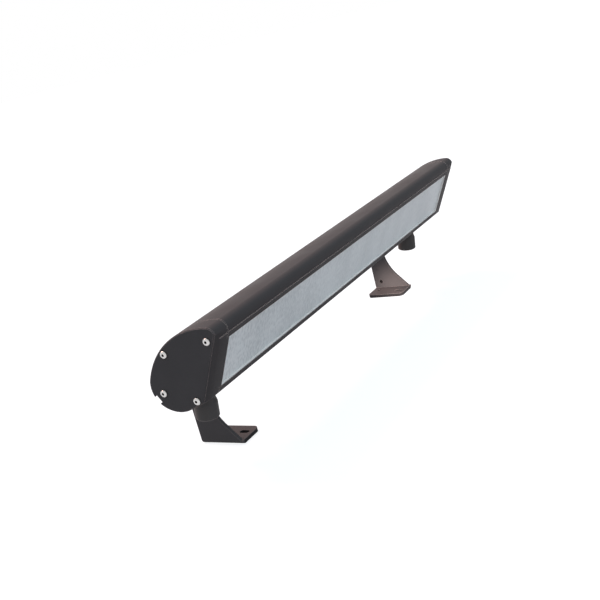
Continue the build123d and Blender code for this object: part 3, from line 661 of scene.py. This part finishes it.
# ---------------------------------------------------------------- pieces that sub-assemblies share
@dataclass
class Shop:
    """What every sub-assembly works with: the finishes, and how a piece is dressed or rounded."""

    finishes: dict[Slot, bpy.types.Material]

    def dress(self, slot: Slot, *nodes: str) -> None:
        """Gives CAD nodes that stay as they are their finish.

        Args:
            slot: The record's slot.
            nodes: The CAD nodes.
        """
        for node in nodes:
            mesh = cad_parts[node].data
            mesh.materials.clear()
            mesh.materials.append(self.finishes[slot])
            LOG.info("%s wears %s", node, slot.value)

    def hand_over(self, piece: bpy.types.Object, slot: Slot, body: str, *nodes: str) -> None:
        """Gives a new piece its finish and its body, and hides the CAD nodes that it stands for.

        Args:
            piece: The new piece.
            slot: The record's slot.
            body: The CAD body that it rides on.
            nodes: The CAD nodes that it replaces.
        """
        piece.data.materials.clear()
        piece.data.materials.append(self.finishes[slot])
        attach(piece, body)
        if nodes:
            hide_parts(*nodes)
        LOG.info("%s made, %d faces", piece.name, len(piece.data.polygons))

    def round_off(self, node: str, slot: Slot, body: str, edge: float,
                  segments: int = 2) -> bpy.types.Object:
        """Makes a CAD node's piece again with its sharp edges rounded.

        Args:
            node: The CAD node.
            slot: The record's slot.
            body: The CAD body that it rides on.
            edge: The width of the rounding, in metres.
            segments: Faces across the rounding.

        Returns:
            The new piece.
        """
        piece = copy_of(node, node + "_rounded")
        finish_modifier(
            piece, "BEVEL", width=edge, segments=segments, limit_method="ANGLE",
            angle_limit=SHARP_ANGLE, use_clamp_overlap=True,
        )
        smooth(piece)
        finish_modifier(piece, "WEIGHTED_NORMAL", keep_sharp=True)
        self.hand_over(piece, slot, body, node)
        return piece


# ---------------------------------------------------------------- sub-assemblies
@dataclass
class LampBody:
    """The extrusion with its lens and lens gasket, and the gear inside."""

    shop: Shop
    edge: float = 0.3 * MM
    glass_edge: float = 0.5 * MM
    sheet_edge: float = 0.1 * MM
    opening: tuple[float, float] = (559 * MM, 56.6 * MM)
    seal_thickness: float = 0.8 * MM
    bead_width: float = 1.1 * MM
    bead_height: float = 1.1 * MM
    bead_edge: float = 0.35 * MM

    def build(self) -> None:
        """Builds the body and dresses what is inside."""
        self.shop.round_off("housing_extrusion", Slot.BODY, "housing", self.edge)
        self.shop.round_off("lens_glass", Slot.LENS, "housing", self.glass_edge, 3)
        self.lay_seal()
        self.shop.round_off("reflector", Slot.REFLECTOR, "housing", self.sheet_edge, 1)
        self.shop.dress(Slot.REFLECTOR, "reflector_end_left", "reflector_end_right")
        self.shop.dress(Slot.GEAR, "gear_tray", "ballast_screws")
        self.shop.dress(Slot.BALLAST, "ballast")
        self.shop.dress(Slot.WHITE, "terminal_block", "lampholder_left", "lampholder_right")

    def lay_seal(self) -> None:
        """Makes the lens gasket again, with the bead that shows along the lips."""
        low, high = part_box("lens_gasket")
        middle = (Vector(low) + Vector(high)) / 2
        lift = (self.seal_thickness + self.bead_height) / 2
        length, height = self.opening
        outer = self.block(length, height, self.bead_height)
        inner = self.block(length - 2 * self.bead_width, height - 2 * self.bead_width, 3 * self.bead_height)
        finish_modifier(outer, "BOOLEAN", object=inner, operation="DIFFERENCE", solver="EXACT")
        bpy.data.objects.remove(inner)
        finish_modifier(outer, "BEVEL", width=self.bead_edge, segments=2, limit_method="ANGLE")
        outer.rotation_euler.x = TILT
        outer.location = middle - lift * DEPTH_DIR
        seal = join([copy_of("lens_gasket", "lens_seal_beaded"), settle(outer)], "lens_seal_beaded")
        smooth(seal)
        self.shop.hand_over(seal, Slot.LENS_SEAL, "housing", "lens_gasket")

    def block(self, length: float, height: float, depth: float) -> bpy.types.Object:
        """Makes a plain block in the lens's own directions, to be cut or to cut with.

        Args:
            length: Its size along X.
            height: Its size along the lens's height.
            depth: Its size along the lens's depth.

        Returns:
            The block.
        """
        bpy.ops.object.select_all(action="DESELECT")
        bpy.ops.mesh.primitive_cube_add(size=1)
        block = bpy.context.active_object
        block.scale = (length, depth, height)
        return settle(block)


@dataclass
class Lamp:
    """The lamp tube with its metal bases, and the rotors that turn with it."""

    shop: Shop
    edge: float = 0.2 * MM

    def build(self) -> None:
        """Dresses the lamp."""
        self.shop.round_off("lamp_tube", Slot.LAMP_GLASS, "lamp", self.edge, 1)
        self.shop.dress(Slot.LAMP_METAL, "lamp_base_left", "lamp_base_right")
        self.shop.dress(Slot.WHITE, "lampholder_rotor_left", "lampholder_rotor_right")


@dataclass
class ButtonHead:
    """A button-head screw with a hexagon socket."""

    radius: float = 3.8 * MM
    height: float = 2.2 * MM
    flat: float = 2.2 * MM
    socket: float = 2.7 * MM
    socket_depth: float = 1.8 * MM
    shank: float = 2.0 * MM
    chamfer: float = 0.4 * MM
    head_sides: int = 48
    shank_sides: int = 32
    dome_segments: int = 6

    def turn(self, name: str, seat: Vector, outward: Vector, length: float) -> bpy.types.Object:
        """Makes one screw.

        Args:
            name: The piece's name.
            seat: The middle of the head's seat.
            outward: The direction that the head faces.
            length: The shank's length below the seat.

        Returns:
            The screw, settled.
        """
        bpy.ops.object.select_all(action="DESELECT")
        bpy.ops.mesh.primitive_cylinder_add(
            vertices=self.head_sides, radius=self.radius, depth=self.height,
            location=(0, 0, self.height / 2),
        )
        head = bpy.context.active_object
        self.dome(head)
        self.sink_socket(head)
        bpy.ops.object.select_all(action="DESELECT")
        bpy.ops.mesh.primitive_cylinder_add(
            vertices=self.shank_sides, radius=self.shank, depth=length,
            location=(0, 0, -length / 2),
        )
        shank = bpy.context.active_object
        finish_modifier(shank, "BEVEL", width=self.chamfer, segments=1, limit_method="ANGLE")
        settle(shank)
        screw = join([settle(head), shank], name)
        screw.rotation_mode = "QUATERNION"
        screw.rotation_quaternion = outward.to_track_quat("Z", "Y")
        screw.location = seat
        settle(screw)
        smooth(screw)
        return screw

    def dome(self, head: bpy.types.Object) -> None:
        """Rounds the head's outer edge down to a flat land around the socket.

        Args:
            head: The plain head.
        """
        bpy.ops.object.mode_set(mode="EDIT")
        bpy.ops.mesh.select_all(action="DESELECT")
        bpy.ops.object.mode_set(mode="OBJECT")
        top = max(head.data.polygons, key=lambda face: face.center.z)
        top.select = True
        bpy.ops.object.mode_set(mode="EDIT")
        bpy.ops.mesh.bevel(
            offset=self.radius - self.flat, segments=self.dome_segments, affect="EDGES", profile=0.5
        )
        bpy.ops.object.mode_set(mode="OBJECT")

    def sink_socket(self, head: bpy.types.Object) -> None:
        """Cuts the hexagon socket into the head.

        Args:
            head: The rounded head.
        """
        bpy.ops.object.select_all(action="DESELECT")
        bpy.ops.mesh.primitive_cylinder_add(
            vertices=6, radius=self.socket / math.sqrt(3), depth=2 * self.socket_depth,
            location=(0, 0, self.height),
        )
        cutter = bpy.context.active_object
        finish_modifier(head, "BOOLEAN", object=cutter, operation="DIFFERENCE", solver="EXACT")
        bpy.data.objects.remove(cutter)


@dataclass
class EndCap:
    """A die-cast end cap with its gasket and its four screws."""

    shop: Shop
    side: Side
    edge: float = 1.0 * MM

    def build(self) -> None:
        """Builds the cap and its screws."""
        tail = self.side.tail
        self.shop.round_off(f"end_cap_{tail}", Slot.BODY, "housing", self.edge, 3)
        self.shop.dress(Slot.BLACK_SEAL, f"end_gasket_{tail}")
        node = f"cap_screws_{tail}"
        outward = Vector((self.side.value, 0, 0))
        screw = ButtonHead()
        made = []
        for index, (low, high) in enumerate(solid_boxes(node)):
            middle = (low + high) / 2
            tip = high.x if self.side is Side.RIGHT else low.x
            seat = Vector((tip - self.side.value * screw.height, middle.y, middle.z))
            length = high.x - low.x - screw.height
            made.append(screw.turn(f"cap_screw_{tail}_{index}", seat, outward, length))
        self.shop.hand_over(join(made, f"cap_screws_{tail}_turned"), Slot.SCREWS, "housing", node)


@dataclass
class ConduitHub:
    """A threaded conduit hub with its gasket."""

    shop: Shop
    side: Side
    edge: float = 0.4 * MM

    def build(self) -> None:
        """Builds the hub."""
        tail = self.side.tail
        self.shop.round_off(f"conduit_hub_{tail}", Slot.HUB, "housing", self.edge)
        self.shop.dress(Slot.BLACK_SEAL, f"hub_gasket_{tail}")


@dataclass
class FootBracket:
    """A bent bracket with its tilt bolt, nut and washers."""

    shop: Shop
    side: Side
    edge: float = 0.5 * MM
    fastener_edge: float = 0.3 * MM

    def build(self) -> None:
        """Builds the bracket and its bolt."""
        tail = self.side.tail
        body = f"bracket_{tail}"
        self.shop.round_off(f"bracket_{tail}", Slot.BRACKET, body, self.edge, 3)
        for node in (f"pivot_bolt_{tail}", f"pivot_nut_{tail}", f"pivot_washers_{tail}"):
            self.shop.round_off(node, Slot.PIVOT, body, self.fastener_edge)


@dataclass
class Saddle:
    """A saddle clamped in the slot, with its bolts and square nuts."""

    shop: Shop
    side: Side
    edge: float = 0.5 * MM
    bolt_edge: float = 0.2 * MM

    def build(self) -> None:
        """Builds the saddle and its bolts."""
        tail = self.side.tail
        body = f"saddle_{tail}"
        self.shop.round_off(f"saddle_{tail}", Slot.BODY, body, self.edge, 3)
        self.shop.round_off(f"clamp_bolts_{tail}", Slot.SCREWS, body, self.bolt_edge)
        self.shop.dress(Slot.SCREWS, f"slot_nuts_{tail}")


# ---------------------------------------------------------------- studio
def background_rays(tree: bpy.types.NodeTree) -> bpy.types.NodeSocket:
    """Is 1 for rays that show the background: from the camera, off gloss or through glass.

    Args:
        tree: The node tree that gets the nodes.

    Returns:
        The value output.
    """
    path = tree.nodes.new("ShaderNodeLightPath")
    value = path.outputs["Is Camera Ray"]
    for name in ("Is Glossy Ray", "Is Transmission Ray"):
        either = tree.nodes.new("ShaderNodeMath")
        either.operation = "MAXIMUM"
        tree.links.new(value, either.inputs[0])
        tree.links.new(path.outputs[name], either.inputs[1])
        value = either.outputs[0]
    return value


@dataclass
class Studio:
    """A pale floor, a wide soft light from above and behind, a cool room and a lamp on the far foot."""

    floor_size: float = 40.0
    floor_colour: Colour = (0.29, 0.3, 0.31)
    floor_glow: float = 0.83
    room_colour: Colour = (0.63, 0.765, 0.88)
    sky_from: Vector = Vector((0.1, 0.62, 0.78))
    sky_colour: Colour = (1.0, 0.64, 0.56)
    sky_level: float = 2.6
    sky_width: float = math.radians(24)
    foot_lamp_place: Vector = Vector((-0.5, -0.5, 0.25))
    foot_lamp_aim: Vector = Vector((0.222, -0.022, 0.002))
    foot_lamp_colour: Colour = (1.0, 0.88, 0.85)
    foot_lamp_power: float = 98.0
    foot_lamp_cone: float = math.radians(4.6)
    foot_lamp_blend: float = 0.8
    foot_lamp_size: float = 0.02

    def build(self) -> None:
        """Builds the floor, the lamps and the world."""
        self.lay_floor()
        sky = self.hang_lamp("sky", "SUN", self.sky_from, Vector((0, 0, 0)), self.sky_level)
        sky.angle = self.sky_width
        sky.color = self.sky_colour
        foot = self.hang_lamp(
            "foot_lamp", "SPOT", self.foot_lamp_place, self.foot_lamp_aim, self.foot_lamp_power
        )
        foot.color = self.foot_lamp_colour
        foot.spot_size = self.foot_lamp_cone
        foot.spot_blend = self.foot_lamp_blend
        foot.shadow_soft_size = self.foot_lamp_size
        self.light_world()

    def lay_floor(self) -> None:
        """Lays the floor, with a glow over its own shading that only background rays see."""
        bpy.ops.object.select_all(action="DESELECT")
        bpy.ops.mesh.primitive_plane_add(size=self.floor_size)
        floor = bpy.context.active_object
        floor.name = "floor"
        board = Board("floor_paper")
        glow = board.work_out("MULTIPLY", background_rays(board.material.node_tree), self.floor_glow)
        board.join(glow, board.shader.inputs["Emission Strength"])
        board.set(
            Base_Color=(*self.floor_colour, 1), Roughness=0.9, Specular_IOR_Level=0.0,
            Emission_Color=(1, 1, 1, 1),
        )
        floor.data.materials.append(board.material)

    def hang_lamp(self, name: str, kind: str, place: Vector, aim: Vector,
                  power: float) -> bpy.types.Light:
        """Hangs a lamp.

        Args:
            name: The lamp's name.
            kind: Its type.
            place: Where it hangs.
            aim: The point that it faces.
            power: Its power in watts, or for a sun in watts per square metre.

        Returns:
            The lamp's data.
        """
        lamp = bpy.data.lights.new(name, kind)
        lamp.energy = power
        holder = bpy.data.objects.new(name, lamp)
        bpy.context.scene.collection.objects.link(holder)
        holder.location = place
        holder.rotation_euler = (aim - place).to_track_quat("-Z", "Y").to_euler()
        return lamp

    def light_world(self) -> None:
        """Lights the room softly, with a white background."""
        world = bpy.data.worlds.new("room")
        bpy.context.scene.world = world
        world.use_nodes = True
        tree = world.node_tree
        back = tree.nodes["Background"]
        mix = tree.nodes.new("ShaderNodeMix")
        mix.data_type = "RGBA"
        mix.inputs["A"].default_value = (*self.room_colour, 1)
        mix.inputs["B"].default_value = (1, 1, 1, 1)
        tree.links.new(background_rays(tree), mix.inputs["Factor"])
        tree.links.new(mix.outputs["Result"], back.inputs["Color"])


@dataclass
class PhotoCamera:
    """The camera at the photograph's viewing angle."""

    place: Vector = Vector((-0.92605, -0.6278, 0.40553))
    forward: Vector = Vector((0.79671, 0.53006, -0.29031))
    up: Vector = Vector((0.37499, -0.05686, 0.92528))
    focal_pixels: float = 944.3
    centre_pixel: tuple[float, float] = (305.14, 304.19)
    picture: float = 600.0
    sensor: float = 36.0
    nearest: float = 0.01

    def build(self) -> None:
        """Builds the camera and makes it the scene's."""
        data = bpy.data.cameras.new("camera")
        data.sensor_width = self.sensor
        data.lens = self.focal_pixels * self.sensor / self.picture
        data.shift_x = (self.picture / 2 - self.centre_pixel[0]) / self.picture
        data.shift_y = (self.centre_pixel[1] - self.picture / 2) / self.picture
        data.clip_start = self.nearest
        camera = bpy.data.objects.new("camera", data)
        bpy.context.scene.collection.objects.link(camera)
        right = self.forward.cross(self.up).normalized()
        turn = Matrix((right, right.cross(self.forward), -self.forward)).transposed()
        camera.matrix_world = Matrix.Translation(self.place) @ turn.to_4x4()
        bpy.context.scene.camera = camera


def main() -> None:
    """Builds the light, the studio and the camera."""
    logging.basicConfig(level=logging.INFO, format="%(message)s")
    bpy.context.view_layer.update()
    shop = Shop(mix_finishes())
    assemblies = [LampBody(shop), Lamp(shop)]
    for side in Side:
        assemblies += [kind(shop, side) for kind in (EndCap, ConduitHub, FootBracket, Saddle)]
    for assembly in assemblies:
        assembly.build()
    Studio().build()
    PhotoCamera().build()
    bpy.context.scene.view_settings.view_transform = "Standard"


if __name__ == "__main__":
    main()
